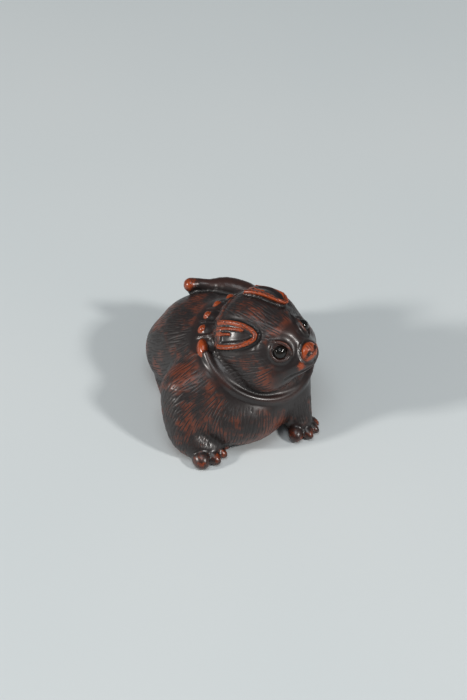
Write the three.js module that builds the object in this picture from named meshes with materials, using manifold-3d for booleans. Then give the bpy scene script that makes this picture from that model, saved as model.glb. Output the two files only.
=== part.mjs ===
// A netsuke, the toggle worn on a cord at the sash: a crouching puppy carved from one block of
// stained boxwood, with two inlaid eyes of dark horn.
//
// Millimetres, +Z up. The puppy faces -Y and its left side is +X. It lies on the flat soles of
// its paws and on its belly, all at Z = 0. Its head is turned to its left and looks up, and it
// wears a collar: a plain roll in front, and at the nape a gathered frill with a bead at the end
// of each gather.
//
// The carving is one signed distance, negative inside the wood, built up from rounded masses
// that melt into each other. A net of small quads is then stretched over its zero surface, once
// for the body and once, finer, for the head. The collar's roll and beads and the rims of the
// ears are small turned and swept solids joined on.
import * as THREE from "three";
import { mergeVertices } from "three/addons/utils/BufferGeometryUtils.js";
import Module from "manifold-3d";

// ---- Driving dimensions ----

const BODY_CELL = 2.2; // size of the net's cells on the body
const HEAD_CELL = 1.75;
const TAIL_CELL = 1.4;

const MIDDLE = [2.85, 2.43]; // of the ground it covers, which comes to the origin

const HEAD_CENTRE = [9.4, -6.8, 20.5];
const HEAD_TURN = 29; // degrees to its left
const HEAD_LIFT = 24; // degrees above the horizon
const HEAD_TILT = 6; // degrees, left ear up

const EYE_RADIUS = 1.55;
const EYE_SUNK = 0.55; // depth of its middle below the head's surface
const EYE_FORWARD = 8.2;
const EYE_SPREAD = 4.5; // from the head's middle plane
const EYE_UP = 2.9;
const EYE_GAP = 0.1; // between an eye and the socket cut for it

const LID_RADIUS = 0.5;

const NOSE_PLACE = [12.0, 0, -0.4];
const NOSE_RADII = [1.4, 2.2, 2.2];
const MOUTH_LEVEL = -4.0;
const MOUTH_REACH = 6.2; // to each side of the middle
const MOUTH_RADIUS = 0.45;

const EARS = [
  { root: [-4.8, -6.9, 8.4], tip: [4.3, -5.3, 7.5], width: 6.2 },
  { root: [-3.6, 5.2, 10.2], tip: [4.5, 6.2, 7.5], width: 6.2 },
];
const EAR_PROUD = 0.5; // how far an ear's leaf stands off the head
const EAR_RIM = 0.5; // radius of its rolled rim

const COLLAR_CENTRE = [8.35, -3.6, 18.2];
const COLLAR_TURN = 22; // degrees to its left
const COLLAR_LIFT = 59; // how steeply the neck rises through it
const COLLAR_RADIUS = 13.1;
const COLLAR_ROLL = 1.1; // radius of the plain roll
const NAPE_ANGLE = -2; // where around the ring the middle of the frill lies
const GATHER_ANGLE = 17.2; // degrees of the ring from one gather to the next
const GATHERS_EACH_SIDE = 2; // of the middle one, before the long bead that ends the frill
const LONG_BEAD_ANGLE = 57; // from the middle of the frill to the long bead
const BEAD_RADII = [1.0, 1.05, 0.8]; // along the neck, around it, away from it
const LONG_BEAD_RADII = [1.3, 2.5, 1.2];
const GATHER_RADII = [1.3, 1.85, 2.0];

const CORD_HOLE_RADIUS = 1.5; // of the pair under the belly, joined by a bent channel
const CORD_HOLE_MIDDLE = [1.2, -5];
const CORD_HOLE_SPACING = 8.5;
const CORD_CHANNEL_DEPTH = 4.6;

// ---- Small vector helpers on plain arrays ----

const RAD = Math.PI / 180;
const sub = (a, b) => [a[0] - b[0], a[1] - b[1], a[2] - b[2]];
const dot = (a, b) => a[0] * b[0] + a[1] * b[1] + a[2] * b[2];
const mix = (a, b, t) => a.map((v, i) => v + (b[i] - v) * t);
const clamp = (v, low, high) => Math.min(high, Math.max(low, v));

// ---- Signed distances ----

// An ellipsoid. Its distance is exact on the surface and close to it nearby.
function ellipsoid(centre, radii) {
  return (p) => {
    const q = sub(p, centre);
    const k = Math.hypot(q[0] / radii[0], q[1] / radii[1], q[2] / radii[2]);
    const g = Math.hypot(q[0] / radii[0] ** 2, q[1] / radii[1] ** 2, q[2] / radii[2] ** 2);
    return g > 0 ? (k * (k - 1)) / g : -Math.min(...radii);
  };
}

// A limb: balls of changing radius swept along a line of points [x, y, z, radius].
function limb(points) {
  return (p) => {
    let nearest = Infinity;
    for (let i = 1; i < points.length; i++) {
      const a = points[i - 1];
      const along = sub(points[i], a);
      const t = clamp(dot(sub(p, a), along) / dot(along, along), 0, 1);
      const ball = mix(a, points[i], t);
      nearest = Math.min(nearest, Math.hypot(...sub(p, ball)) - ball[3]);
    }
    return nearest;
  };
}

// The same along a smooth curve through the points.
function curvedLimb(points, steps) {
  const path = new THREE.CatmullRomCurve3(points.map((q) => new THREE.Vector3(...q)));
  const balls = [];
  for (let i = 0; i <= steps; i++) {
    const at = (i / steps) * (points.length - 1);
    const k = Math.min(Math.floor(at), points.length - 2);
    const radius = points[k][3] + (points[k + 1][3] - points[k][3]) * (at - k);
    balls.push([...path.getPoint(i / steps).toArray(), radius]);
  }
  return limb(balls);
}

// Two distances melted into one, with a fillet of about the given size.
function melt(a, b, fillet) {
  const h = Math.max(fillet - Math.abs(a - b), 0) / fillet;
  return Math.min(a, b) - (h * h * fillet) / 4;
}

// A list of [shape, fillet] melted one after another.
function join(parts) {
  return (p) => parts.reduce((d, [shape, fillet]) => melt(d, shape(p), fillet), 1e3);
}

// ---- Frames: a shape is drawn in a frame of its own and read from the puppy's ----

// x forwards, turned to the left and lifted, y to the left, z up.
function frameAt(centre, turn, lift, tilt) {
  return new THREE.Matrix4()
    .makeTranslation(...centre)
    .multiply(new THREE.Matrix4().makeRotationZ((turn - 90) * RAD))
    .multiply(new THREE.Matrix4().makeRotationY(-lift * RAD))
    .multiply(new THREE.Matrix4().makeRotationX(tilt * RAD));
}

function readIn(frame, shape) {
  const m = frame.clone().invert().elements;
  return (p) =>
    shape([
      m[0] * p[0] + m[4] * p[1] + m[8] * p[2] + m[12],
      m[1] * p[0] + m[5] * p[1] + m[9] * p[2] + m[13],
      m[2] * p[0] + m[6] * p[1] + m[10] * p[2] + m[14],
    ]);
}

// ---- Head, alike on both sides, so each pair is drawn once, for a positive y ----

const headFrame = frameAt(HEAD_CENTRE, HEAD_TURN, HEAD_LIFT, HEAD_TILT);
const bothSides = (shape) => (p) => shape([p[0], Math.abs(p[1]), p[2]]);

const skull = join([
  [ellipsoid([-2.6, 1.0, 2.2], [9.6, 11.2, 10.4]), 1],
  [ellipsoid([3.2, 0, 1.6], [7.4, 7.6, 7.0]), 2],
  [bothSides(ellipsoid([1.2, 4.2, -2.6], [7.4, 6.2, 5.2])), 3],
  [ellipsoid([8.4, 0, -1.8], [4.4, 4.6, 3.6]), 2.5],
]);

// An ear folded forwards flat on the head: a thin leaf, with a frame along and across it.
function ear({ root, tip, width }) {
  const along = new THREE.Vector3(...sub(tip, root));
  const length = along.length();
  along.normalize();
  const out = new THREE.Vector3(...mix(root, tip, 0.5)).projectOnPlane(along).normalize();
  const across = out.clone().cross(along);
  const halfWidth = (t) => (width / 2) * Math.sqrt(clamp(1 - Math.abs(t) ** 2.6, 0, 1));
  const leaf = (p) => {
    const q = new THREE.Vector3(...sub(p, root));
    const t = q.dot(along) / length;
    const side = q.dot(across);
    const inside = Math.min(halfWidth(t) - Math.abs(side), (t + 0.06) * length, q.dot(out) + 4);
    return -melt(EAR_PROUD - skull(p), inside, 0.3);
  };
  const rimAt = (t, side) =>
    along
      .clone()
      .multiplyScalar(t * length)
      .addScaledVector(across, side * (halfWidth(t) - EAR_RIM))
      .add(new THREE.Vector3(...root))
      .toArray();
  return { leaf, rimAt };
}
const ears = EARS.map(ear);

const headShape = readIn(
  headFrame,
  join([[skull, 1], ...ears.map(({ leaf }) => [leaf, 0.2])]),
);

// ---- Collar, in a frame whose x runs up the neck and whose z points to the nape ----

const collarFrame = frameAt(COLLAR_CENTRE, COLLAR_TURN, COLLAR_LIFT, 0);
const neckShape = readIn(collarFrame, ellipsoid([-5, 0, 0], [9, 14.4, 14.4]));

// A place on the ring: an angle from the nape, a distance from the axis, a height up the neck.
function onCollar(angle, out, height) {
  const turned = (NAPE_ANGLE + angle) * RAD;
  const place = new THREE.Vector3(height, out * Math.sin(turned), out * Math.cos(turned));
  return place.applyMatrix4(collarFrame);
}

// ---- Body ----

const torso = join([
  [ellipsoid([2.2, 7.4, 10.4], [13.6, 15.6, 11.8]), 1],
  [ellipsoid([1.6, -6.6, 7.0], [12.8, 12.0, 8.8]), 5],
  [ellipsoid([-2.0, -4.0, 13.0], [10.0, 8.0, 7.6]), 4],
  [ellipsoid([11.2, -5.5, 9.0], [8.3, 9.5, 8.6]), 4],
]);

const rightForeleg = limb([
  [-9.4, -4.5, 12.0, 6.4],
  [-11.6, -7.5, 8.0, 5.0],
  [-11.8, -10.0, 4.4, 4.3],
  [-10.4, -12.6, 2.6, 3.4],
  [-8.4, -13.4, 1.4, 3.2],
]);
const leftForeleg = limb([
  [11.0, -7, 12, 5.6],
  [13.4, -11, 7.5, 4.4],
  [13.8, -13.0, 4.4, 3.6],
  [13.6, -14.8, 2.2, 3.2],
]);

// Toes fan out from a paw's heel. Each ends in a tip [x, y, z, radius].
const RIGHT_PAW = {
  heel: [-10.2, -9.8, 2.6],
  toes: [
    [-11.4, -16.3, 1.6, 2.2],
    [-8.4, -16.7, 1.3, 1.75],
    [-6.2, -15.7, 1.2, 1.5],
    [-4.6, -13.8, 1.1, 1.3],
  ],
};
const LEFT_PAW = {
  heel: [13.8, -12.4, 2.4],
  toes: [
    [11.4, -17.9, 1.5, 1.85],
    [14.2, -18.6, 1.3, 1.5],
    [16.2, -17.6, 1.2, 1.35],
    [17.2, -15.7, 1.1, 1.2],
  ],
};

const rightHaunch = ellipsoid([-4.6, 11.6, 8.6], [7.4, 9.4, 8.6]);
const leftHaunch = ellipsoid([9.6, 11.6, 8.6], [7.2, 9.4, 8.6]);
const rightHindPaw = limb([
  [-7.6, 10.5, 3.0, 3.4],
  [-9.4, 3.6, 2.4, 2.7],
  [-9.6, 1.6, 2.0, 2.3],
]);
const leftHindPaw = limb([
  [12.0, 10.5, 3.0, 3.4],
  [14.4, 3.6, 2.4, 2.7],
  [14.8, 1.6, 2.0, 2.3],
]);
const tail = curvedLimb(
  [
    [4.0, 22.0, 6.0, 3.0],
    [10.5, 20.4, 8.8, 2.9],
    [14.6, 16.4, 12.0, 2.8],
    [15.8, 13.0, 15.6, 2.7],
    [13.6, 13.8, 18.6, 2.6],
    [10.1, 16.8, 19.3, 2.4],
    [6.8, 19.0, 19.2, 1.6],
    [4.4, 20.3, 19.4, 1.55],
    [2.7, 20.6, 19.6, 1.8],
  ],
  32,
);

function bodyShape(p) {
  let d = torso(p);
  d = melt(d, rightHaunch(p), 1);
  d = melt(d, leftHaunch(p), 1);
  d = melt(d, rightHindPaw(p), 0.8);
  d = melt(d, leftHindPaw(p), 0.8);
  d = melt(d, neckShape(p), 3);
  d = melt(d, rightForeleg(p), 1.6);
  d = melt(d, leftForeleg(p), 1.6);
  return d;
}

// ---- The net of quads over the zero surface ----

// Surface nets: one vertex in each cell that the surface crosses, one quad over each crossed edge.
function surfaceNet(shape, low, high, cell) {
  const count = low.map((v, i) => Math.ceil((high[i] - v) / cell) + 1);
  const step = [1, count[0], count[0] * count[1]];
  const total = step[2] * count[2];
  const corners = new Array(total);
  const values = new Float64Array(total);
  for (let n = 0; n < total; n++) {
    const at = [n % count[0], Math.floor(n / step[1]) % count[1], Math.floor(n / step[2])];
    corners[n] = at.map((v, i) => low[i] + v * cell);
    values[n] = shape(corners[n]);
  }
  const positions = [];
  const vertexOf = new Int32Array(total).fill(-1);
  const cellCorners = [0, 1, 2, 3, 4, 5, 6, 7].map(
    (c) => (c & 1) * step[0] + ((c >> 1) & 1) * step[1] + ((c >> 2) & 1) * step[2],
  );
  const inside = (n) => values[n] < 0;
  for (let n = 0; n < total - step[0] - step[1] - step[2]; n++) {
    const crossings = [];
    for (let c = 0; c < 8; c++)
      for (let axis = 0; axis < 3; axis++) {
        if ((c >> axis) & 1) continue;
        const a = n + cellCorners[c];
        const b = a + step[axis];
        if (inside(a) === inside(b)) continue;
        crossings.push(mix(corners[a], corners[b], values[a] / (values[a] - values[b])));
      }
    if (!crossings.length) continue;
    vertexOf[n] = positions.length / 3;
    const middle = [0, 1, 2].map((i) => crossings.reduce((s, p) => s + p[i], 0) / crossings.length);
    positions.push(...middle);
  }
  const triangles = [];
  for (let n = step[2] + step[1] + 1; n < total - step[2]; n++)
    for (let axis = 0; axis < 3; axis++) {
      const m = n + step[axis];
      if (inside(n) === inside(m)) continue;
      const u = step[(axis + 1) % 3];
      const v = step[(axis + 2) % 3];
      const ring = [n - u - v, n - v, n, n - u].map((k) => vertexOf[k]);
      if (!inside(n)) ring.reverse();
      triangles.push(ring[0], ring[1], ring[2], ring[0], ring[2], ring[3]);
    }
  settle(positions, shape, 3);
  return solidFrom(positions, triangles);
}

// Which way a distance grows at a point, and how fast.
function slopeOf(shape, p) {
  const h = 0.01;
  const here = shape(p);
  return [0, 1, 2].map((k) => {
    const q = [...p];
    q[k] += h;
    return (shape(q) - here) / h;
  });
}

// Each point slides along the slope of the distance until it lies on the zero surface.
function settle(positions, shape, rounds) {
  for (let i = 0; i < positions.length; i += 3)
    for (let round = 0; round < rounds; round++) {
      const p = positions.slice(i, i + 3);
      const slope = slopeOf(shape, p);
      const scale = shape(p) / Math.max(dot(slope, slope), 0.1);
      for (let k = 0; k < 3; k++) positions[i + k] = p[k] - slope[k] * scale;
    }
}

// ---- Solids ----

const wasm = await Module();
wasm.setup();

function solidFrom(positions, triangles) {
  return new wasm.Manifold(
    new wasm.Mesh({
      numProp: 3,
      vertProperties: new Float32Array(positions),
      triVerts: new Uint32Array(triangles),
    }),
  );
}

function solidOf(geometry) {
  const bare = geometry.clone();
  bare.deleteAttribute("normal");
  bare.deleteAttribute("uv");
  const merged = mergeVertices(bare, 1e-4);
  return solidFrom(merged.attributes.position.array, merged.index.array);
}

function geometryOf(solid) {
  const mesh = solid.getMesh();
  const geometry = new THREE.BufferGeometry();
  geometry.setAttribute("position", new THREE.BufferAttribute(mesh.vertProperties, 3));
  geometry.setIndex(new THREE.BufferAttribute(mesh.triVerts, 1));
  geometry.computeVertexNormals();
  return geometry;
}

// A rounded strip swept along a smooth path of points.
function strip(points, radius, sides, steps) {
  const section = new THREE.Shape();
  for (let i = 0; i < sides; i++) {
    const turn = (i / sides) * 2 * Math.PI;
    section[i ? "lineTo" : "moveTo"](radius * Math.cos(turn), radius * Math.sin(turn));
  }
  return new THREE.ExtrudeGeometry(section, {
    steps,
    bevelEnabled: false,
    extrudePath: new THREE.CatmullRomCurve3(points),
  });
}

// A ball stretched along the neck, around it and away from it, seated on the collar's ring.
function onRing(radii, angle, out, height) {
  const geometry = new THREE.SphereGeometry(1, 8, 6).scale(...radii);
  geometry.rotateX(-(NAPE_ANGLE + angle) * RAD);
  geometry.applyMatrix4(new THREE.Matrix4().extractRotation(collarFrame));
  return geometry.translate(...onCollar(angle, out, height).toArray());
}

function collarPieces() {
  const pieces = [];
  const arc = [];
  for (let angle = LONG_BEAD_ANGLE; angle <= 360 - LONG_BEAD_ANGLE; angle += 6)
    arc.push(onCollar(angle, COLLAR_RADIUS, 0.2));
  pieces.push(strip(arc, COLLAR_ROLL, 7, 30));
  for (let side = -GATHERS_EACH_SIDE; side <= GATHERS_EACH_SIDE; side++) {
    const angle = side * GATHER_ANGLE;
    pieces.push(onRing(GATHER_RADII, angle, COLLAR_RADIUS - 1.6, -0.9));
    pieces.push(onRing(BEAD_RADII, angle, COLLAR_RADIUS + 0.2, -1.2));
  }
  for (const side of [-1, 1])
    pieces.push(onRing(LONG_BEAD_RADII, side * LONG_BEAD_ANGLE, COLLAR_RADIUS + 0.1, -0.8));
  return pieces;
}

// A toe: a long ball from halfway down the paw to its tip, pointing away from the heel.
function toe(heel, end) {
  const radius = end[3];
  const tip = new THREE.Vector3(...end.slice(0, 3));
  const away = tip.clone().sub(new THREE.Vector3(...heel));
  const half = away.length() * 0.45;
  away.normalize();
  return new THREE.SphereGeometry(1, 8, 7)
    .scale(radius, half, radius)
    .applyQuaternion(new THREE.Quaternion().setFromUnitVectors(new THREE.Vector3(0, 1, 0), away))
    .translate(...tip.addScaledVector(away, radius - half).toArray());
}

// The rolled rim runs from the root along one edge of the ear, round its tip and back.
function earRim({ rimAt }) {
  const points = [];
  for (let i = 0; i <= 20; i++) {
    const turn = (i / 20) * Math.PI;
    const onHead = rimAt(Math.sin(turn) * 0.97, Math.sign(Math.cos(turn)));
    settle(onHead, (p) => skull(p) - EAR_PROUD, 3);
    points.push(new THREE.Vector3(...onHead).applyMatrix4(headFrame));
  }
  return strip(points, EAR_RIM, 5, 18);
}

// The nose is a pad on the tip of the muzzle, and the mouth a groove drawn back along it.
const nose = new THREE.SphereGeometry(1, 10, 8).scale(...NOSE_RADII).translate(...NOSE_PLACE);
nose.applyMatrix4(headFrame);

function mouthLine() {
  const points = [];
  for (let i = -6; i <= 6; i++) {
    const across = (i / 6) * MOUTH_REACH;
    const onHead = [12 - (i / 6) ** 2 * 4.5, across, MOUTH_LEVEL + (i / 6) ** 2 * 0.8];
    settle(onHead, skull, 4);
    points.push(new THREE.Vector3(...onHead).applyMatrix4(headFrame));
  }
  return strip(points, MOUTH_RADIUS, 5, 14);
}

// An eye is a ball sunk into the head, with a lid rolled round it.
function eyeAt(side) {
  const onHead = [EYE_FORWARD, side * EYE_SPREAD, EYE_UP];
  settle(onHead, skull, 4);
  const outward = new THREE.Vector3(...slopeOf(skull, onHead)).normalize();
  const middle = new THREE.Vector3(...onHead).addScaledVector(outward, -EYE_SUNK);
  const turn = new THREE.Quaternion().setFromUnitVectors(new THREE.Vector3(0, 0, 1), outward);
  const ball = (radius) =>
    new THREE.SphereGeometry(radius, 12, 8)
      .translate(...middle.toArray())
      .applyMatrix4(headFrame);
  const lid = new THREE.TorusGeometry(EYE_RADIUS + 0.3, LID_RADIUS, 5, 14)
    .applyQuaternion(turn)
    .translate(...onHead)
    .applyMatrix4(headFrame);
  return { ball, lid };
}
const eyes = [eyeAt(-1), eyeAt(1)];

// The cord went in by one hole under the belly, round a bend inside and out by the other.
function cordChannel() {
  const [x, y] = CORD_HOLE_MIDDLE;
  const points = [];
  for (let i = 0; i <= 12; i++) {
    const turn = (i / 12) * Math.PI;
    const across = (Math.cos(turn) * CORD_HOLE_SPACING) / 2;
    points.push(new THREE.Vector3(x + across, y, Math.sin(turn) * CORD_CHANNEL_DEPTH));
  }
  points.unshift(points[0].clone().setZ(-2));
  points.push(points[points.length - 1].clone().setZ(-2));
  return strip(points, CORD_HOLE_RADIUS, 7, 11);
}

const bodySolid = surfaceNet(bodyShape, [-22, -26, -4], [24, 30, 30], BODY_CELL);
const headSolid = surfaceNet(headShape, [-6, -22, 6], [26, 8, 35], HEAD_CELL);
const tailSolid = surfaceNet(tail, [-2, 8, 0], [22, 28, 25], TAIL_CELL);
const toes = [RIGHT_PAW, LEFT_PAW].flatMap(({ heel, toes }) => toes.map((end) => toe(heel, end)));
const added = [...collarPieces(), ...ears.map(earRim), ...eyes.map(({ lid }) => lid), nose, ...toes];
const taken = [mouthLine(), cordChannel(), ...eyes.map(({ ball }) => ball(EYE_RADIUS + EYE_GAP))];

let carving = bodySolid.add(headSolid).add(tailSolid);
for (const geometry of added) carving = carving.add(solidOf(geometry));
for (const geometry of taken) carving = carving.subtract(solidOf(geometry));

const BELOW = 20;
const underfoot = new THREE.BoxGeometry(90, 90, BELOW).translate(0, 0, -BELOW / 2);
carving = carving.subtract(solidOf(underfoot));

const group = new THREE.Group();
group.position.set(-MIDDLE[0], -MIDDLE[1], 0);
const wood = new THREE.MeshStandardMaterial({ color: 0x4a2418, roughness: 0.35, metalness: 0 });
const horn = new THREE.MeshStandardMaterial({ color: 0x060505, roughness: 0.08, metalness: 0 });

function addPiece(name, geometry, material) {
  const mesh = new THREE.Mesh(geometry, material);
  mesh.name = name;
  group.add(mesh);
}

addPiece("puppy", geometryOf(carving), wood);
addPiece("eye_right", eyes[0].ball(EYE_RADIUS), horn);
addPiece("eye_left", eyes[1].ball(EYE_RADIUS), horn);

export default group;
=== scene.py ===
# %% [markdown]
# # A carved puppy netsuke
# A netsuke is a small toggle, carved from one block of boxwood. This one is a crouching puppy with
# folded ears, a frilled collar and inlaid eyes. The frame below holds its solids at their real
# size. Blender adds what the carver's finest tools do: rims, lids, nostrils, toes and hair.

# %% Load the frame
import math

import bpy
import numpy as np
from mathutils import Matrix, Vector, kdtree


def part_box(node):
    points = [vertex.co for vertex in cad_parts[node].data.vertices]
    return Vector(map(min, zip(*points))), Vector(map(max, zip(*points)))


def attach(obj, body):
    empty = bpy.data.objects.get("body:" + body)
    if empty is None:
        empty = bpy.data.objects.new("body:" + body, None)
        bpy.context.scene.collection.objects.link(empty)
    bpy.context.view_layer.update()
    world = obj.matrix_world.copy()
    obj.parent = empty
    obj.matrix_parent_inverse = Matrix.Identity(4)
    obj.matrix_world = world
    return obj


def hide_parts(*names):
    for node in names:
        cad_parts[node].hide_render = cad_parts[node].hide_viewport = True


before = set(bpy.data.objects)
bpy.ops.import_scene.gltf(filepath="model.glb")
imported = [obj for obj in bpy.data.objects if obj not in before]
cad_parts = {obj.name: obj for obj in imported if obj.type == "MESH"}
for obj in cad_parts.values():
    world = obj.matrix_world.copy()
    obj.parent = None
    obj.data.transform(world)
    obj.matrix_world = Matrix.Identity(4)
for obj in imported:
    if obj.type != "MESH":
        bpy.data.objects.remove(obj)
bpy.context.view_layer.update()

print("nodes", sorted(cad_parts))

# %% [markdown]
# ## A tool kit of distances
# The carving is described by one signed distance in millimetres, which is negative inside the
# wood. Rounded masses melt into each other as soft clay does, and tools are cut out of them. Each
# function takes many points at once, as rows of an array, so that numpy does the work quickly.

# %% Distances of simple shapes
MM = 0.001


def ellipsoid(p, centre, radii):
    q = p - np.array(centre)
    k = np.linalg.norm(q / radii, axis=1)
    g = np.linalg.norm(q / np.square(radii), axis=1)
    return k * (k - 1) / np.maximum(g, 1e-6)


def limb(p, points):
    """Balls of changing radius swept along a line of points [x, y, z, radius]."""
    nearest = np.full(len(p), 1e3)
    for a, b in zip(np.array(points[:-1]), np.array(points[1:])):
        along = b[:3] - a[:3]
        t = np.clip((p - a[:3]) @ along / (along @ along), 0, 1)
        ball = a + t[:, None] * (b - a)
        nearest = np.minimum(nearest, np.linalg.norm(p - ball[:, :3], axis=1) - ball[:, 3])
    return nearest


def long_ball(p, middle, axis, half, radius):
    """A ball stretched along an axis to a half length."""
    q = p - middle
    along = q @ axis
    around = np.sqrt(np.maximum((q * q).sum(1) - along**2, 0))
    return ellipsoid(np.stack([along, around], 1), (0, 0), (half, radius))


def melt(a, b, fillet):
    h = np.maximum(fillet - np.abs(a - b), 0) / fillet
    return np.minimum(a, b) - h * h * fillet / 4


def cut(a, tool, fillet):
    return -melt(-a, tool, fillet)


def soft_step(low, high, x):
    t = np.clip((x - low) / (high - low), 0, 1)
    return t * t * (3 - 2 * t)


def hump(x, width):
    return np.exp(-np.square(x / width))


# %% Curves and frames
def smooth_path(points, steps):
    """A Catmull-Rom curve through points of any number of columns."""
    points = np.array(points, float)
    padded = np.vstack([2 * points[0] - points[1], points, 2 * points[-1] - points[-2]])
    path = []
    for i in range(steps + 1):
        at = i / steps * (len(points) - 1)
        k = min(int(at), len(points) - 2)
        t = at - k
        a, b, c, d = padded[k : k + 4]
        bend = 2 * a - 5 * b + 4 * c - d
        twist = 3 * b - a - 3 * c + d
        path.append(0.5 * (2 * b + (c - a) * t + bend * t**2 + twist * t**3))
    return np.array(path)


def frame_at(centre, turn, lift, tilt):
    """Its middle, and columns that point forwards, to the left and up."""
    z, y, x = (math.radians(v) for v in (turn - 90, -lift, tilt))
    turned = np.array([[math.cos(z), -math.sin(z), 0], [math.sin(z), math.cos(z), 0], [0, 0, 1]])
    lifted = np.array([[math.cos(y), 0, math.sin(y)], [0, 1, 0], [-math.sin(y), 0, math.cos(y)]])
    tilted = np.array([[1, 0, 0], [0, math.cos(x), -math.sin(x)], [0, math.sin(x), math.cos(x)]])
    return np.array(centre, float), turned @ lifted @ tilted


def into(place, p):
    return (p - place[0]) @ place[1]


def slope(shape, p):
    """How fast a distance grows along x, y and z."""
    here = shape(p)
    step = 0.01
    return np.stack([(shape(p + step * axis) - here) / step for axis in np.eye(3)], 1), here


def settle(p, shape, rounds):
    """Slides points along the slope of a distance until they lie on its zero surface."""
    for _ in range(rounds):
        grad, here = slope(shape, p)
        move = here / np.maximum((grad * grad).sum(1), 0.25)
        p = p - grad * np.clip(move, -0.6, 0.6)[:, None]
    return p


# %% [markdown]
# ## The head
# The puppy's skull is a broad ball with full cheeks and a short muzzle. Its ears lie folded forward
# and flat. Each is a leaf with a rolled rim, sunk inside, with a shallow smooth moat cut round it
# so that it stands out. The same masses and sizes as the solid's are used, so the finished head
# lies exactly on it.

# %% Head masses
MIDDLE = np.array([2.85, 2.43, 0])  # what the frame took away from the carver's own coordinates
HEAD = frame_at((9.4, -6.8, 20.5), 29, 24, 6)
HEAD_MASSES = [
    ((-2.6, 1.0, 2.2), (9.6, 11.2, 10.4), 1),
    ((3.2, 0, 1.6), (7.4, 7.6, 7.0), 2),
    ((1.2, 4.2, -2.6), (7.4, 6.2, 5.2), 3),
    ((8.4, 0, -1.8), (4.4, 4.6, 3.6), 2.5),
]

CHEEK = 2  # the mass that is there on both sides


def skull(p):
    d = np.full(len(p), 1e3)
    for number, (centre, radii, fillet) in enumerate(HEAD_MASSES):
        mirrored = np.stack([p[:, 0], np.abs(p[:, 1]), p[:, 2]], 1)
        q = mirrored if number == CHEEK else p
        d = melt(d, ellipsoid(q, centre, radii), fillet)
    return d


# %% Ears
EARS = [
    dict(root=(-4.8, -6.9, 8.4), tip=(4.3, -5.3, 7.5), width=6.2),
    dict(root=(-3.6, 5.2, 10.2), tip=(4.5, 6.2, 7.5), width=6.2),
]
EAR_PROUD = 0.5
EAR_RIM = 0.5
EAR_HOLLOW = 0.55  # how deep the leaf is sunk inside its rim
MOAT_WIDTH = 1.0
MOAT_DEPTH = 0.35


class Ear:
    def __init__(self, root, tip, width):
        self.root = np.array(root)
        along = np.array(tip) - self.root
        self.length = np.linalg.norm(along)
        self.along = along / self.length
        out = self.root + along / 2
        out = out - self.along * (out @ self.along)
        self.out = out / np.linalg.norm(out)
        self.across = np.cross(self.out, self.along)
        self.width = width
        self.crown = 1 if self.across[1] * root[1] < 0 else -1  # the side next to the crown
        edge = [(math.sin(a) * 0.97, math.copysign(1, math.cos(a))) for a in self.turns()]
        self.rim = self.line(edge, EAR_RIM)
        self.ribs = [
            self.line([(t, self.crown * side) for t in np.linspace(-0.05, reach, 6)], 0.3, 0.25)
            for side, reach in ((0.5, 0.62), (0.08, 0.34))
        ]

    def turns(self):
        return [math.pi * i / 20 for i in range(21)]

    def half_width(self, t):
        return self.width / 2 * np.sqrt(np.clip(1 - np.abs(t) ** 2.6, 0, 1))

    def line(self, places, radius, proud=EAR_PROUD):
        """A line over the head through places (along the ear, fraction of its half width)."""
        points = []
        for t, side in places:
            reach = side * (self.half_width(t) - EAR_RIM)
            points.append(self.root + self.along * t * self.length + self.across * reach)
        points = settle(np.array(points), lambda p: skull(p) - proud, 3)
        return np.column_stack([points, np.full(len(points), radius)])

    def outside(self, p):
        """How far a point lies outside the leaf's outline, and how far along the ear."""
        q = p - self.root
        t = q @ self.along / self.length
        side = np.abs(q @ self.across)
        beyond = np.maximum(t - 0.93, 0) * self.length
        edge = np.hypot(np.maximum(side - self.half_width(np.clip(t, 0, 0.93)), 0), beyond)
        inner = np.minimum(self.half_width(t) - side, (t + 0.06) * self.length)
        return np.where(inner > 0, -inner, np.maximum(edge, 0.001)), t, q @ self.out


ears = [Ear(**ear) for ear in EARS]


def add_ear(d, p, ear):
    edge, t, out = ear.outside(p)
    near = (out > -4) * soft_step(-0.12, 0.15, t)
    d = d + MOAT_DEPTH * hump(np.maximum(edge, 0) - 0.5, MOAT_WIDTH) * near * (edge > 0)
    inside = np.minimum(-edge, out + 4)
    leaf = -melt(EAR_PROUD - skull(p), inside, 0.3)
    hollow = EAR_HOLLOW * soft_step(0.9, 1.7, -edge) * soft_step(-0.1, 0.2, t)
    d = melt(d, leaf + hollow, 0.15)
    d = melt(d, limb(p, ear.rim), 0.2)
    for rib in ear.ribs:
        d = melt(d, limb(p, rib), 0.2)
    return d


# %% Eyes, nose and mouth
EYE_RADIUS = 1.55
EYE_SUNK = 0.55
EYE_TIGHT = 0.05  # the wood closes on the horn plug by this much
UPPER_LID = [(-2.6, -0.2, 0.2), (-1.6, 1.35, 0.4), (0.1, 1.95, 0.46), (1.6, 1.25, 0.4), (2.7, -0.3, 0.2)]
LOWER_LID = [(-3.9, -1.2, 0.2), (-1.9, -1.75, 0.45), (0.0, -2.1, 0.52), (1.7, -1.5, 0.45), (2.8, -0.3, 0.2)]
NOSE_PLACE = (12.0, 0, -0.4)
NOSE_RADII = (1.4, 2.2, 2.2)
MOUTH_LEVEL = -4.0
MOUTH_REACH = 6.2


def eye_places():
    seats = settle(np.array([[8.2, -4.5, 2.9], [8.2, 4.5, 2.9]]), skull, 4)
    outward, _ = slope(skull, seats)
    outward /= np.linalg.norm(outward, axis=1)[:, None]
    return seats, outward, seats - outward * EYE_SUNK


EYE_SEATS, EYE_OUT, EYE_MIDDLES = eye_places()


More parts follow.
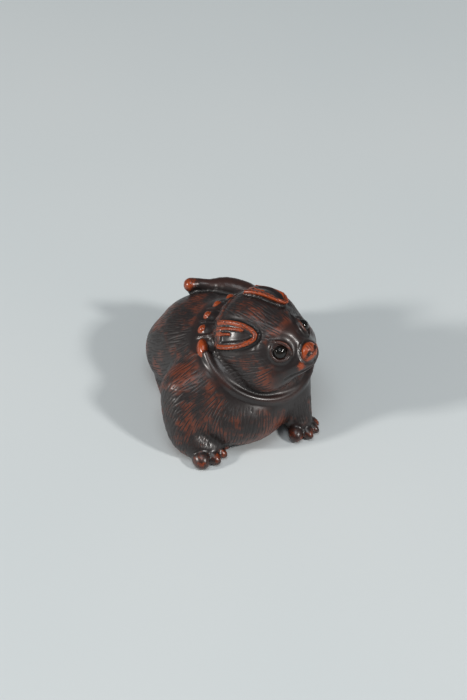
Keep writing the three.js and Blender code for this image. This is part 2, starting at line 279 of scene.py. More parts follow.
def lid_paths(side):
    """Each lid is a rolled strip over the skull. Its points are forward, up and a radius."""
    out = EYE_OUT[side]
    forward = np.array([0.82, 0, -0.57])  # an eye's corners lie on a line that drops to the nose
    forward = forward - out * (forward @ out)
    forward /= np.linalg.norm(forward)
    up = np.cross(forward, out) * (1 if side == 0 else -1)
    paths = []
    for lid in (UPPER_LID, LOWER_LID):
        drawn = smooth_path(lid, 12)
        points = EYE_SEATS[side] + drawn[:, :1] * forward + drawn[:, 1:2] * up
        points = settle(points, lambda p: skull(p) - 0.05, 3)
        paths.append(np.column_stack([points, drawn[:, 2]]))
    return paths


LIDS = [lid_paths(0), lid_paths(1)]


def add_eye(d, p, side):
    reach = np.linalg.norm(p - EYE_SEATS[side], axis=1)
    d = d + 0.3 * hump(reach - 3.3, 0.9)
    for lid in LIDS[side]:
        d = melt(d, limb(p, lid), 0.3)
    return cut(d, np.linalg.norm(p - EYE_MIDDLES[side], axis=1) - EYE_RADIUS + EYE_TIGHT, 0.06)


def mouth_path():
    across = np.linspace(-1, 1, 13)
    points = np.stack([12 - across**2 * 4.5, across * MOUTH_REACH, MOUTH_LEVEL + across**2 * 0.8], 1)
    return np.column_stack([settle(points, skull, 4), 0.42 * (1 - 0.45 * np.abs(across) ** 3)])


MOUTH = mouth_path()
NOSTRILS = [
    [
        (13.35, side * 0.55, -0.2, 0.3), (13.2, side * 1.0, 0.1, 0.42),
        (12.6, side * 1.75, -0.3, 0.3), (12.0, side * 2.2, -0.9, 0.2),
    ]
    for side in (-1, 1)
]


def add_muzzle(d, p):
    nose = ellipsoid(p, NOSE_PLACE, NOSE_RADII)
    around = soft_step(10.0, 11.0, p[:, 0])
    d = d + 0.3 * hump(nose - 0.35, 0.35) * around
    d = melt(d, nose, 0.2)
    for nostril in NOSTRILS:
        d = cut(d, limb(p, nostril), 0.12)
    seam = hump(p[:, 1], 0.2) * soft_step(9, 10, p[:, 0]) * soft_step(0.2, -0.6, p[:, 2])
    d = d + 0.28 * seam * soft_step(-4.4, -4.0, p[:, 2])
    return cut(d, limb(p, MOUTH), 0.2)


# %% The whole head
HEAD_EDGE = -6.0  # a thin raised line round the back of the head, where the frill begins


def head(p):
    bone = skull(p)
    edge = hump(p[:, 0] - HEAD_EDGE, 0.3) * soft_step(-4, -1, p[:, 2])
    d = bone - 0.28 * edge
    for ear in ears:
        d = add_ear(d, p, ear)
    for side in (0, 1):
        d = add_eye(d, p, side)
    return add_muzzle(d, p)


# %% [markdown]
# ## Collar and frill
# The collar is a plain roll in front. At the nape it is gathered into a frill: smooth panels with a
# thin fold between them and a bead at the end of each. It is drawn around a ring, in a frame that
# leans with the neck, so that an angle and a height place each gather.

# %% Collar
COLLAR = frame_at((8.35, -3.6, 18.2), 22, 59, 0)
COLLAR_RADIUS = 13.1
COLLAR_ROLL = 1.1
NAPE_ANGLE = -2
GATHER_ANGLE = 17.2
LONG_BEAD_ANGLE = 57
BEAD_RADII = (1.0, 1.05, 0.8)
LONG_BEAD_RADII = (1.3, 2.5, 1.2)
GATHER_RADII = (1.3, 1.85, 2.0)


def around_collar(q):
    """The angle from the nape in degrees, the distance from the axis and the height up it."""
    angle = np.degrees(np.arctan2(q[:, 1], q[:, 2])) - NAPE_ANGLE
    return (angle + 180) % 360 - 180, np.hypot(q[:, 1], q[:, 2]), q[:, 0]


def on_ring(q, radii, angle, out, height):
    """A ball stretched up the neck, around it and away from it."""
    turn = math.radians(NAPE_ANGLE + angle)
    away = np.array([0, math.sin(turn), math.cos(turn)])
    round_ = np.array([0, math.cos(turn), -math.sin(turn)])
    local = np.stack([q[:, 0] - height, q @ round_, q @ away - out], 1)
    return ellipsoid(local, (0, 0, 0), radii)


def collar(d, q):
    angle, out, height = around_collar(q)
    turned = np.abs(angle)
    end = soft_step(LONG_BEAD_ANGLE - 2, LONG_BEAD_ANGLE + 6, turned)
    roll = np.hypot(out - COLLAR_RADIUS, height - 0.2) - COLLAR_ROLL
    d = melt(d, roll + 3 * (1 - end), 0.5)
    for step in range(-2, 3):
        d = melt(d, on_ring(q, GATHER_RADII, step * GATHER_ANGLE, COLLAR_RADIUS - 1.6, -0.9), 0.6)
    phase = (angle / GATHER_ANGLE) % 1 - 0.5
    fold = hump(phase * math.radians(GATHER_ANGLE) * out, 0.3)
    band = soft_step(-2.6, -1.2, height) * soft_step(4.0, 2.6, height) * (1 - end)
    d = d - 0.32 * fold * band * soft_step(8, 10, out)
    for step in range(-2, 3):
        d = melt(d, on_ring(q, BEAD_RADII, step * GATHER_ANGLE, COLLAR_RADIUS + 0.2, -1.2), 0.15)
    for side in (-1, 1):
        nook = on_ring(q, (0.9, 1.7, 1.2), side * (LONG_BEAD_ANGLE - 2), COLLAR_RADIUS - 0.9, 1.2)
        d = cut(d, nook, 0.5)
        d = melt(d, on_ring(q, LONG_BEAD_RADII, side * LONG_BEAD_ANGLE, COLLAR_RADIUS + 0.1, -0.8), 0.15)
    return d


# %% [markdown]
# ## The body
# Torso, haunches, legs, paws and tail are masses of the same kind. The toes are long balls that
# fan out from each paw, set close, so that a groove is left between them.

# %% Body masses
TORSO = [
    ((2.2, 7.4, 10.4), (13.6, 15.6, 11.8), 1),
    ((1.6, -6.6, 7.0), (12.8, 12.0, 8.8), 5),
    ((-2.0, -4.0, 13.0), (10.0, 8.0, 7.6), 4),
    ((11.2, -5.5, 9.0), (8.3, 9.5, 8.6), 4),
    ((-4.6, 11.6, 8.6), (7.4, 9.4, 8.6), 1),
    ((9.6, 11.6, 8.6), (7.2, 9.4, 8.6), 1),
]
HIND_PAWS = [
    [(-7.6, 10.5, 3.0, 3.4), (-9.4, 3.6, 2.4, 2.7), (-9.6, 1.6, 2.0, 2.3)],
    [(12.0, 10.5, 3.0, 3.4), (14.4, 3.6, 2.4, 2.7), (14.8, 1.6, 2.0, 2.3)],
]
FORELEGS = [
    smooth_path(
        [
            (-9.4, -4.5, 12.0, 6.4), (-11.6, -7.5, 8.0, 5.0), (-11.8, -10.0, 4.4, 4.3),
            (-10.4, -12.6, 2.6, 3.4), (-8.4, -13.4, 1.4, 3.2),
        ],
        12,
    ),
    smooth_path(
        [
            (11.0, -7.0, 12.0, 5.6), (13.4, -11.0, 7.5, 4.4),
            (13.8, -13.0, 4.4, 3.6), (13.6, -14.8, 2.2, 3.2),
        ],
        9,
    ),
]
PAWS = [
    (
        (-10.2, -9.8, 2.6),
        [
            (-11.4, -16.3, 1.6, 2.2), (-8.4, -16.7, 1.3, 1.75),
            (-6.2, -15.7, 1.2, 1.5), (-4.6, -13.8, 1.1, 1.3),
        ],
    ),
    (
        (13.8, -12.4, 2.4),
        [
            (11.4, -17.9, 1.5, 1.85), (14.2, -18.6, 1.3, 1.5),
            (16.2, -17.6, 1.2, 1.35), (17.2, -15.7, 1.1, 1.2),
        ],
    ),
]
TAIL = smooth_path(
    [
        (4.0, 22.0, 6.0, 3.0), (10.5, 20.4, 8.8, 2.9), (14.6, 16.4, 12.0, 2.8), (15.8, 13.0, 15.6, 2.7),
        (13.6, 13.8, 18.6, 2.6), (10.1, 16.8, 19.3, 2.4), (6.8, 19.0, 19.2, 1.6), (4.4, 20.3, 19.4, 1.55),
        (2.7, 20.6, 19.6, 1.8),
    ],
    24,
)
CORD_HOLES = ((1.2, -5.0), 8.5, 4.6, 1.5)  # middle, spacing, depth and radius of the cord's channel


def toes(p):
    d = np.full(len(p), 1e3)
    for heel, ends in PAWS:
        for end in ends:
            away = np.array(end[:3]) - heel
            half = np.linalg.norm(away) * 0.45
            away /= np.linalg.norm(away)
            middle = np.array(end[:3]) + away * (end[3] - half)
            d = melt(d, long_ball(p, middle, away, half, end[3]), 0.2)
    return d


def cord_channel(p):
    (x, y), spacing, depth, radius = CORD_HOLES
    turns = np.linspace(0, math.pi, 13)
    path = [(x + math.cos(a) * spacing / 2, y, math.sin(a) * depth, radius) for a in turns]
    path = [(path[0][0], y, -2, radius), *path, (path[-1][0], y, -2, radius)]
    return limb(p, path)


def carving(p):
    """The whole finished surface, before its hair is engraved."""
    d = np.full(len(p), 1e3)
    for centre, radii, fillet in TORSO:
        d = melt(d, ellipsoid(p, centre, radii), fillet)
    for paw in HIND_PAWS:
        d = melt(d, limb(p, paw), 0.8)
    q = into(COLLAR, p)
    d = melt(d, ellipsoid(q, (-5, 0, 0), (9, 14.4, 14.4)), 3)
    for leg in FORELEGS:
        d = melt(d, limb(p, leg), 1.6)
    d = melt(d, toes(p), 0.3)
    d = melt(d, limb(p, TAIL), 0.4)
    d = melt(d, head(into(HEAD, p)), 0.8)
    d = collar(d, q)
    d = cut(d, cord_channel(p), 0.3)
    return cut(d, p[:, 2], 0.3)


# %% [markdown]
# ## From solid to fine mesh
# The solid is coarse, with facets about 2 mm wide. A copy of it is remeshed into small even quads,
# which are then slid onto the carving's surface. That keeps the puppy one closed piece and rounds
# every join. The quads under the belly stay large, because nothing is engraved there.

# %% Remesh a copy of the solid
VOXEL = 0.5


def only(obj):
    bpy.ops.object.select_all(action="DESELECT")
    obj.select_set(True)
    bpy.context.view_layer.objects.active = obj


def copy_of_node(node, name):
    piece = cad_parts[node].copy()
    piece.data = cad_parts[node].data.copy()
    piece.name = name
    piece.parent = None
    bpy.context.scene.collection.objects.link(piece)
    only(piece)
    bpy.ops.object.mode_set(mode="EDIT")
    bpy.ops.mesh.select_all(action="SELECT")
    bpy.ops.mesh.remove_doubles(threshold=1e-6)
    bpy.ops.object.mode_set(mode="OBJECT")
    piece.data.materials.clear()
    return piece


def points_of(obj):
    flat = np.empty(len(obj.data.vertices) * 3)
    obj.data.vertices.foreach_get("co", flat)
    return flat.reshape(-1, 3) / MM + MIDDLE


def set_points(obj, p):
    obj.data.vertices.foreach_set("co", ((p - MIDDLE) * MM).ravel())
    obj.data.update()


puppy = copy_of_node("puppy", "carved_puppy")
puppy.data.remesh_voxel_size = VOXEL * MM
puppy.data.remesh_voxel_adaptivity = 0
bpy.ops.object.voxel_remesh()
print("quads after remeshing", len(puppy.data.polygons))

# %% Slide them onto the carving
def edges_of(obj):
    flat = np.empty(len(obj.data.edges) * 2, int)
    obj.data.edges.foreach_get("vertices", flat)
    return flat.reshape(-1, 2)


def neighbour_mean(values, edges):
    """For each vertex, the mean over the vertices that it shares an edge with."""
    count = len(values)
    total = np.zeros(values.shape)
    for column in range(values.shape[1]):
        total[:, column] = np.bincount(edges[:, 0], values[edges[:, 1], column], count)
        total[:, column] += np.bincount(edges[:, 1], values[edges[:, 0], column], count)
    degree = np.bincount(edges.ravel(), minlength=count)
    return total / np.maximum(degree, 1)[:, None]


def even_out(p, edges, rounds):
    for _ in range(rounds):
        p = p + 0.5 * (neighbour_mean(p, edges) - p)
    return p


rough = settle(points_of(puppy), carving, 2)
rough = settle(even_out(rough, edges_of(puppy), 3), carving, 2)
set_points(puppy, rough)
print("vertices on the carving", len(rough))

# %% Split the quads that will be seen, and slide the new ones too
UNDERFOOT = 0.25  # mm
OVERHANG = -0.35  # faces that look further down than this stay large


def split_upper_faces(obj):
    only(obj)
    bpy.ops.object.mode_set(mode="EDIT")
    bpy.ops.mesh.select_mode(type="FACE")
    bpy.ops.mesh.select_all(action="DESELECT")
    bpy.ops.object.mode_set(mode="OBJECT")
    middles = np.array([face.center for face in obj.data.polygons]) / MM + MIDDLE
    bare = limb(middles, TAIL) < 0.3
    for face, skip in zip(obj.data.polygons, bare):
        face.select = face.center.z > UNDERFOOT * MM and face.normal.z > OVERHANG and not skip
    bpy.ops.object.mode_set(mode="EDIT")
    bpy.ops.mesh.subdivide(number_cuts=1)
    bpy.ops.object.mode_set(mode="OBJECT")


split_upper_faces(puppy)
EDGES = edges_of(puppy)
smooth_points = settle(points_of(puppy), carving, 2)
smooth_points = settle(even_out(smooth_points, EDGES, 1), carving, 2)
set_points(puppy, smooth_points)
puppy.data.calc_loop_triangles()
print("triangles", len(puppy.data.loop_triangles))


# %% [markdown]
# ## Where there is hair
# Hair covers the body and most of the head. The carver left the ears, the eyelids, the nose, the
# toes, the tail and a smooth border along the collar bare and polished. The mask below is 1 where
# there is hair and falls to 0 on those places.

# %% Hair mask
COLLAR_BORDER = 2.6  # mm left bare beside the collar
INNER_LEG = [(-6.2, -11.5, 4.5, 0.1), (-5.6, -9.6, 6.0, 0.1)]  # a bare strip inside the right foreleg


def hair_mask(p):
    h = into(HEAD, p)
    q = into(COLLAR, p)
    angle, out, height = around_collar(q)
    nape = 1 - soft_step(LONG_BEAD_ANGLE - 4, LONG_BEAD_ANGLE + 4, np.abs(angle))
    ring = np.hypot(out - COLLAR_RADIUS, height - 0.2 + 1.2 * nape)
    body = soft_step(COLLAR_BORDER - 0.9, COLLAR_BORDER + 0.6, ring - 0.9 * nape)
    body *= soft_step(0.3, 1.6, toes(p)) * soft_step(0.2, 0.9, limb(p, TAIL)) * soft_step(0.3, 1.5, p[:, 2])
    body *= soft_step(2.2, 3.6, limb(p, INNER_LEG))
    on_head = soft_step(0.7, 0.25, skull(h)) * soft_step(-6.6, -5.6, h[:, 0])
    bare = soft_step(7.6, 5.8, h[:, 0] + 0.35 * np.abs(h[:, 2] + 1) * (h[:, 2] < -1))
    crown = soft_step(9.0, 7.6, h[:, 0]) * soft_step(3.6, 5.0, h[:, 2])
    fur = np.maximum(bare, crown)
    for ear in ears:
        edge, t, height_over = ear.outside(h)
        moat = soft_step(0.9, 2.0, edge) + soft_step(0.05, -0.15, t) * (edge > 0)
        fur = fur * np.where(height_over > -4, np.minimum(moat, 1), 1)
    for side in (0, 1):
        fur = fur * soft_step(2.9, 3.9, np.linalg.norm(h - EYE_SEATS[side], axis=1))
    fur = fur * soft_step(-7.4, -6.0, h[:, 2])
    return np.where(on_head > 0.5, fur, body) * (p[:, 2] > 0.2)


HAIR = hair_mask(smooth_points)
print("share of vertices under hair", round(float((HAIR > 0.5).mean()), 2))

# %% [markdown]
# ## Engraving the hair
# A carver cuts hair stroke by stroke with a fine burin: each stroke is a few millimetres long, lies
# beside the last one and follows the way the coat grows. The strokes here are made the same way.
# They start at places spread over the coat and run with its flow, away from the collar on the body
# and back from the nose on the head. A stroke ends where it would run into an earlier one.

# %% The way the coat grows
STROKE_LENGTH = 5.5  # mm
SHORTEST_STROKE = 1.4
STROKE_PITCH = 0.55  # between neighbouring strokes
STROKE_STEP = 0.28


def normals_at(p):
    normal, here = slope(carving, p)
    return normal / np.maximum(np.linalg.norm(normal, axis=1), 1e-6)[:, None], here


def growth(p, normal):
    """A direction for each point, along the surface."""
    h = into(HEAD, p)
    from_nose = (h - (9.5, 0, -0.5)) @ HEAD[1].T
    from_collar = p - COLLAR[0]
    from_collar /= np.linalg.norm(from_collar, axis=1)[:, None]
    # The coat hangs down the legs.
    from_collar[:, 2] -= 1.1 * soft_step(15, 6, p[:, 2]) * soft_step(9, 0, p[:, 1])
    way = np.where((skull(h) < 0.8)[:, None], from_nose, from_collar)
    way = way - normal * (way * normal).sum(1)[:, None]
    return way / np.maximum(np.linalg.norm(way, axis=1), 1e-6)[:, None]


def draw_strokes(p, sway):
    """Runs every stroke at once, step by step. The result has a row of points for each."""
    path = [p]
    normal, _ = normals_at(p)
    for _ in range(int(STROKE_LENGTH / STROKE_STEP)):
        way = growth(p, normal)
        p = p + (way + sway * np.cross(way, normal)) * STROKE_STEP
        normal, here = normals_at(p)
        p = p - normal * here[:, None]
        path.append(p)
    return np.stack(path, 1)


# %% Keep the strokes that lie clear of each other
def touches(point, taken, clear):
    x, y, z = point
    i, j, k = int(x // clear), int(y // clear), int(z // clear)
    for a in (i - 1, i, i + 1):
        for b in (j - 1, j, j + 1):
            for c in (k - 1, k, k + 1):
                for u, v, w in taken.get((a, b, c), ()):
                    if (x - u) ** 2 + (y - v) ** 2 + (z - w) ** 2 < clear * clear:
                        return True
    return False


def spread_out(strokes):
    """Each stroke runs until it would touch an earlier one, and is dropped if that is too short."""
    taken = {}
    kept = []
    clear = 0.82 * STROKE_PITCH
    for stroke in strokes.tolist():
        length = 0
        while length < len(stroke) and not touches(stroke[length], taken, clear):
            length += 1
        if length * STROKE_STEP < SHORTEST_STROKE:
            continue
        kept.append(np.array(stroke[:length]))
        for point in stroke[:length]:
            taken.setdefault(tuple(int(v // clear) for v in point), []).append(point)
    return kept


rng = np.random.default_rng(7)
coat = np.flatnonzero(HAIR > 0.3)
starts = rng.choice(coat, 9000, replace=False)
drawn = draw_strokes(smooth_points[starts], rng.normal(0, 0.1, (len(starts), 1)))
drawn = drawn[np.isfinite(drawn).all(axis=(1, 2))]
strokes = spread_out(drawn)
print("strokes engraved", len(strokes), "of", len(drawn))

# %% Cut them into the mesh
STROKE_DEPTH = 0.1  # mm
SKIN = 0.08  # the whole surface is taken down this much, to stay inside the solid



def fade(stroke):
    """1 along a stroke, falling towards both its ends."""
    number = np.arange(len(stroke))
    return np.clip(np.minimum(number + 1, len(stroke) - number) / 3, 0, 1)


samples = np.concatenate(strokes)
ahead = np.concatenate([np.gradient(stroke, axis=0) for stroke in strokes])
ahead /= np.maximum(np.linalg.norm(ahead, axis=1), 1e-6)[:, None]
taper = np.concatenate([fade(stroke) for stroke in strokes])
tree = kdtree.KDTree(len(samples))
for number, sample in enumerate(samples.tolist()):
    tree.insert(sample, number)
tree.balance()


def nearest_sample(p):
    return np.array([tree.find(point)[1] for point in p.tolist()])


def strength_at(p, nearest):
    """1 beside a stroke, 0 past its ends."""
    ends = ((p - samples[nearest]) * ahead[nearest]).sum(1)
    return taper[nearest] * soft_step(0.5, 0.2, np.abs(ends))


NORMALS, _ = normals_at(smooth_points)
STROKE = np.zeros(len(smooth_points))
GROOVE = np.zeros(len(smooth_points))
nearest = nearest_sample(smooth_points[coat])
STROKE[coat] = strength_at(smooth_points[coat], nearest) * np.clip(HAIR[coat] * 1.3, 0, 1)
gap = smooth_points[coat] - samples[nearest]
gap -= ahead[nearest] * (gap * ahead[nearest]).sum(1)[:, None]
across = np.linalg.norm(gap, axis=1) / STROKE_PITCH
GROOVE[coat] = (0.5 + 0.5 * np.cos(2 * np.pi * np.clip(across, 0, 0.5))) * STROKE[coat]
lift = np.where(smooth_points[:, 2] < UNDERFOOT, 0, SKIN)
set_points(puppy, smooth_points - NORMALS * (lift + STROKE_DEPTH * GROOVE)[:, None])
print("vertices in a stroke", int((GROOVE > 0.5).sum()))

# %% Store a line's exact place inside each face
# A face is about half as wide as the gap between strokes. So that a line stays sharp, each corner
# of a face stores its distance across from the one stroke that is nearest to that face.
def store(obj, name, values, domain="POINT"):
    layer = obj.data.attributes.new(name, "FLOAT", domain)
    layer.data.foreach_set("value", np.asarray(values, np.float32))


def distance_across(obj):
    mesh = obj.data
    corner_vertex = np.empty(len(mesh.loops), int)
    mesh.loops.foreach_get("vertex_index", corner_vertex)
    sizes = np.empty(len(mesh.polygons), int)
    mesh.polygons.foreach_get("loop_total", sizes)
    face_of_corner = np.repeat(np.arange(len(sizes)), sizes)
    middles = np.stack(
        [np.bincount(face_of_corner, smooth_points[corner_vertex, axis]) / sizes for axis in range(3)], 1
    )
    hairy = np.bincount(face_of_corner, HAIR[corner_vertex]) / sizes > 0.1
    nearest = np.zeros(len(sizes), int)
    nearest[hairy] = nearest_sample(middles[hairy])
    sample = nearest[face_of_corner]
    side = np.cross(NORMALS[corner_vertex], ahead[sample])
    reach = ((smooth_points[corner_vertex] - samples[sample]) * side).sum(1) / STROKE_PITCH
    return np.where(hairy[face_of_corner], reach, 1)


store(puppy, "across", distance_across(puppy), "CORNER")
store(puppy, "stroke", STROKE)

# %% [markdown]
# ## What the finish needs to know
# Wear follows the form: high places are rubbed back to warm bare wood, and hollows are painted
# darker, as painted shade. Each vertex stores how hollow it is, how worn, how hairy and how deep in a
# stroke.

# %% Store the masks on the mesh
MUZZLE_SIDES = [(11.0, -3.2, -1.9, 1.5), (11.0, 3.2, -1.9, 1.5)]
TAIL_TIP = (2.2, 20.7, 20.2, 2.2)


def hollowness(p, rounds):
    """Positive in hollows and negative on bulges, in mm."""
    return ((even_out(p, EDGES, rounds) - p) * NORMALS).sum(1)


def near(p, places):
    """The closest of several soft spots [x, y, z, radius], 1 at its middle."""
    reach = np.zeros(len(p))
    for x, y, z, radius in places:
        reach = np.maximum(reach, hump(np.linalg.norm(p - (x, y, z), axis=1), radius))
    return reach


def worn_places(p):
    h = into(HEAD, p)
    q = into(COLLAR, p)
    wear = np.zeros(len(p))
    for ear in ears:
        wear = np.maximum(wear, soft_step(0.35, 0.05, limb(h, ear.rim)))
        for rib in ear.ribs:
            wear = np.maximum(wear, 0.9 * soft_step(0.3, 0.05, limb(h, rib)))
    nose = soft_step(0.5, 0.1, ellipsoid(h, NOSE_PLACE, NOSE_RADII)) * soft_step(-2.6, -1.0, h[:, 2])
    wear = np.maximum(wear, nose)
    wear = np.maximum(wear, 0.9 * near(h, MUZZLE_SIDES))
    for step in range(-2, 3):
        bead = on_ring(q, BEAD_RADII, step * GATHER_ANGLE, COLLAR_RADIUS + 0.2, -1.2)
        wear = np.maximum(wear, soft_step(0.35, 0.05, bead))
    for side in (-1, 1):
        bead = on_ring(q, LONG_BEAD_RADII, side * LONG_BEAD_ANGLE, COLLAR_RADIUS + 0.1, -0.8)
        wear = np.maximum(wear, 0.95 * soft_step(0.35, 0.05, bead))
    for _, ends in PAWS:
        wear = np.maximum(wear, 0.85 * near(p, [(*end[:3], end[3] * 1.1) for end in ends]))
    return np.maximum(wear, near(p, [TAIL_TIP]))


store(puppy, "hair", HAIR)
store(puppy, "hollow", hollowness(smooth_points, 12))
store(puppy, "broad_hollow", hollowness(smooth_points, 120))
store(puppy, "worn", worn_places(smooth_points))
bpy.ops.object.shade_smooth()
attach(puppy, "root")
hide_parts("puppy")

# %% [markdown]
# ## The inlaid eyes
# Each eye is a plug of polished dark horn, set in its socket under the lids. A ball is a good
# start; a small ring is inset round its front, and the front is set in a little.

# %% Eyes
def make_eye(node, side):
    low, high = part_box(node)
    middle = (low + high) / 2
    bpy.ops.object.select_all(action="DESELECT")
    radius = EYE_RADIUS * MM
    bpy.ops.mesh.primitive_uv_sphere_add(segments=48, ring_count=24, radius=radius, location=middle)
    eye = bpy.context.object
    eye.name = "polished_" + node
    out = Vector(HEAD[1] @ EYE_OUT[side])
    eye.rotation_euler = out.to_track_quat("Z", "Y").to_euler()
    bpy.ops.object.mode_set(mode="EDIT")
    bpy.ops.mesh.select_mode(type="FACE")
    bpy.ops.mesh.select_all(action="DESELECT")
    bpy.ops.object.mode_set(mode="OBJECT")
    for face in eye.data.polygons:
        face.select = face.center.z > 0.78 * radius
    bpy.ops.object.mode_set(mode="EDIT")
    bpy.ops.mesh.inset(thickness=0.04 * MM, depth=-0.03 * MM)
    bpy.ops.object.mode_set(mode="OBJECT")
    bpy.ops.object.transform_apply(location=True, rotation=True, scale=True)
    bpy.ops.object.shade_smooth()
    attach(eye, "root")
    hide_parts(node)
    print(node, "centre in mm", [round(v / MM, 2) for v in middle])
    return eye


eyes = [make_eye("eye_right", 0), make_eye("eye_left", 1)]

# %% [markdown]
# ## Writing materials as arithmetic
# A finish mixes many masks. The class below wraps one socket of a material and turns Python's
# operators into Math nodes, so that a mask reads as a sum or a product.

# %% Sockets that can be added and multiplied
class Wire:
    tree = None

    def __init__(self, socket):
        self.socket = socket

    @classmethod
    def node(cls, kind, settings=None, values=None, out=0):
        """Adds a node, sets it and its inputs, and returns one of its outputs."""
        made = cls.tree.nodes.new(kind)
        for name, value in (settings or {}).items():
            if name == "stops":
                ramp = made.color_ramp.elements
                while len(ramp) < len(value):
                    ramp.new(0.5)
                for stop, (place, colour) in zip(ramp, value):
                    stop.position = place
                    stop.color = (*colour, 1)
            else:
                setattr(made, name, value)
        for name, value in (values or {}).items():
            if isinstance(value, Wire):
                cls.tree.links.new(value.socket, made.inputs[name])
            else:
                made.inputs[name].default_value = value
        return Wire(made.outputs[out])

    def math(self, operation, *others, clamp=False):
        values = {i: v for i, v in enumerate((self, *others))}
        return Wire.node("ShaderNodeMath", {"operation": operation, "use_clamp": clamp}, values)

    def __add__(self, other):
        return self.math("ADD", other)

    def __sub__(self, other):
        return self.math("SUBTRACT", other)

    def __rsub__(self, other):
        return Wire.node("ShaderNodeMath", {"operation": "SUBTRACT"}, {0: other, 1: self})

    def __mul__(self, other):
        return self.math("MULTIPLY", other)

    __radd__ = __add__
    __rmul__ = __mul__

    def between(self, low, high):
        """0 below low, 1 above high and smooth in between."""
        values = {"Value": self, "From Min": low, "From Max": high}
        settings = {"interpolation_type": "SMOOTHSTEP"}
        return Wire.node("ShaderNodeMapRange", settings, values, out="Result")

    def feed(self, shader, name):
        Wire.tree.links.new(self.socket, shader.inputs[name])


def new_material(name):
    material = bpy.data.materials.new(name)
    material.use_nodes = True
    Wire.tree = material.node_tree
    return material, material.node_tree.nodes["Principled BSDF"]


def attribute(name):
    return Wire.node("ShaderNodeAttribute", {"attribute_name": name}, out="Fac")


def noise(size, detail=3.0, roughness=0.55, stretch=(1, 1, 1)):
    """Cloudy noise with patches of about a size in mm."""
    place = Wire.node("ShaderNodeTexCoord", out="Object")
    place = Wire.node("ShaderNodeMapping", values={"Vector": place, "Scale": stretch})
    values = {"Vector": place, "Scale": 1 / (size * MM), "Detail": detail, "Roughness": roughness}
    return Wire.node("ShaderNodeTexNoise", values=values)


MIX_FACTOR, MIX_FIRST, MIX_SECOND, MIX_RESULT = 0, 6, 7, 2  # a colour mix's sockets, by number


def blend(mask, first, second):
    """A colour that goes from the first to the second as the mask goes from 0 to 1."""
    first, second = (value if isinstance(value, Wire) else (*value, 1) for value in (first, second))
    values = {MIX_FACTOR: mask, MIX_FIRST: first, MIX_SECOND: second}
    return Wire.node("ShaderNodeMix", {"data_type": "RGBA"}, values, out=MIX_RESULT)


# %% [markdown]
# ## Stained and worn boxwood
# The wood was stained almost black, then handled for two centuries. Stain stays in the strokes,
# and the hollows are painted darker still, as painted shade. High places are rubbed back to
# red-brown, and the rims, beads, nose, toes and tail tip, which are touched most, shine orange.
# Smooth borders have a waxed grey sheen.

# %% Boxwood
STAIN = (0.014, 0.0092, 0.0088)
# Near-black, both for the stain kept in the strokes and for the painted shade in the hollows.
DEEP_STAIN_AND_SHADE = (0.004, 0.0025, 0.0022)
RED_BROWN = (0.135, 0.028, 0.0095)
ORANGE = (0.33, 0.052, 0.007)


def boxwood():
    material, shader = new_material("stained_boxwood")
    hair, stroke, worn = attribute("hair"), attribute("stroke"), attribute("worn")
    across = attribute("across").math("ABSOLUTE")
    groove = (1 - across.between(0.06, 0.36)) * stroke
    hollow, broad = attribute("hollow"), attribute("broad_hollow")
    patches = noise(7.0, detail=4, roughness=0.6)
    mottle = noise(1.6, detail=4, roughness=0.65)
    fine = noise(0.35, detail=2, roughness=0.5)
    high = (0 - broad).between(-0.05, 0.55)
    rubbed = (patches + 0.45 * (mottle - 0.5) + 0.25 * (high - 0.5)).between(0.36, 0.60)
    ridge = 1 - groove.between(0.1, 0.6)
    brown = rubbed * ridge * (0.15 + 0.85 * hair)
    orange = (worn + 1.1 * (mottle - 0.5) + 0.5 * (fine - 0.5)).between(0.38, 0.85) * (1 - groove * 0.6)
    colour = blend(brown, STAIN, RED_BROWN)
    colour = blend(orange, colour, ORANGE)
    # Painted shade: the hollows are darkened towards near-black. The strokes take the same dark from the
    # stain kept in them.
    hollow_shade = hollow.between(0.02, 0.16)
    colour = blend(hollow_shade * 0.85 + groove * 0.45, colour, DEEP_STAIN_AND_SHADE)
    colour.feed(shader, "Base Color")
    rough = 0.36 + 0.12 * hair + 0.16 * groove + 0.18 * (mottle - 0.5) - 0.1 * orange + 0.1 * hollow_shade
    rough.feed(shader, "Roughness")
    values = {"Height": fine * 0.5 + mottle * 0.5 - groove * 1.2, "Strength": 0.35, "Distance": 0.06 * MM}
    bump = Wire.node("ShaderNodeBump", values=values)
    bump.feed(shader, "Normal")
    shader.inputs["Coat Weight"].default_value = 0.25
    shader.inputs["Coat Roughness"].default_value = 0.22
    return material


def horn():
    material, shader = new_material("dark_horn")
    streak = noise(0.9, detail=3)
    colour = blend(streak.between(0.4, 0.7), (0.003, 0.003, 0.003), (0.012, 0.009, 0.006))
    colour.feed(shader, "Base Color")
    rough = 0.05 + 0.06 * streak
    rough.feed(shader, "Roughness")
    return material


puppy.data.materials.append(boxwood())
horn_material = horn()
for eye in eyes:
    eye.data.materials.append(horn_material)

# %% [markdown]
# ## Floor, light and camera
# A pale cool table, a broad soft light overhead, and two small lamps, one on each side, that cast
# the two shadows. The camera looks down on the puppy from its right front, with a long lens.

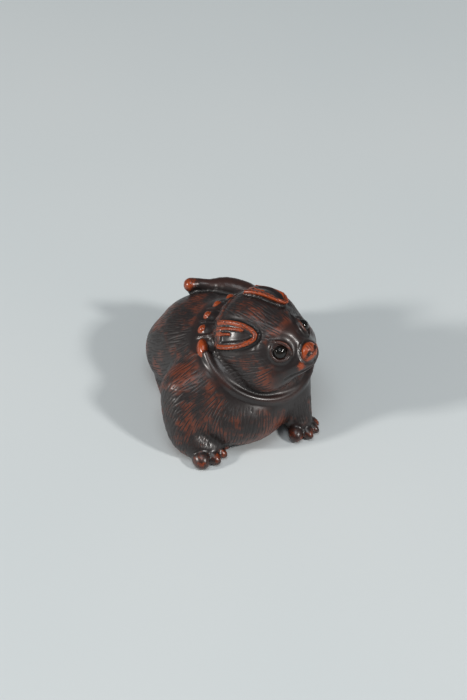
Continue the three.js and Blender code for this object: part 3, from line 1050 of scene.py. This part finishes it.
# %% Floor
def make_floor():
    bpy.ops.object.select_all(action="DESELECT")
    bpy.ops.mesh.primitive_plane_add(size=4, location=(0, 0, 0))
    floor = bpy.context.object
    floor.name = "table_top"
    material, shader = new_material("pale_table")
    shade = noise(90, detail=1)
    colour = blend(shade, (0.60, 0.66, 0.68), (0.66, 0.70, 0.71))
    colour.feed(shader, "Base Color")
    shader.inputs["Roughness"].default_value = 0.7
    floor.data.materials.append(material)


make_floor()

# %% Lights
CAMERA_SIDE = -25.0  # degrees round from the puppy's front
AIM = Vector((4.13, 3.85, 9.27)) * MM


def direction(side, height):
    a, e = math.radians(side), math.radians(height)
    return Vector((math.sin(a) * math.cos(e), -math.cos(a) * math.cos(e), math.sin(e)))


def lamp(name, side, height, away, size, power, colour):
    data = bpy.data.lights.new(name, "AREA")
    data.size = size
    data.energy = power
    data.color = colour
    made = bpy.data.objects.new(name, data)
    bpy.context.scene.collection.objects.link(made)
    towards = direction(CAMERA_SIDE + side, height)
    made.location = AIM + towards * away
    made.rotation_mode = "QUATERNION"
    made.rotation_quaternion = towards.to_track_quat("Z", "Y")


lamp("right_lamp", 58, 38, 0.9, 0.10, 4.0, (1.0, 0.97, 0.94))
lamp("left_lamp", -72, 26, 0.9, 0.10, 4.8, (1.0, 0.96, 0.92))
lamp("overhead_cloth", -10, 72, 0.9, 0.45, 2.2, (0.95, 0.98, 1.0))

world = bpy.data.worlds.new("room")
bpy.context.scene.world = world
world.use_nodes = True
world.node_tree.nodes["Background"].inputs["Color"].default_value = (0.92, 0.96, 1.0, 1)
world.node_tree.nodes["Background"].inputs["Strength"].default_value = 0.15

# %% Camera
CAMERA_HEIGHT = 43.0  # degrees
CAMERA_AWAY = 452 * MM

lens = bpy.data.cameras.new("camera")
lens.lens = 100
lens.sensor_width = 36
lens.clip_start = 0.01
camera = bpy.data.objects.new("camera", lens)
bpy.context.scene.collection.objects.link(camera)
back = direction(CAMERA_SIDE, CAMERA_HEIGHT)
camera.location = AIM + back * CAMERA_AWAY
camera.rotation_mode = "QUATERNION"
camera.rotation_quaternion = back.to_track_quat("Z", "Y")
bpy.context.scene.camera = camera
bpy.context.scene.view_settings.view_transform = "Standard"
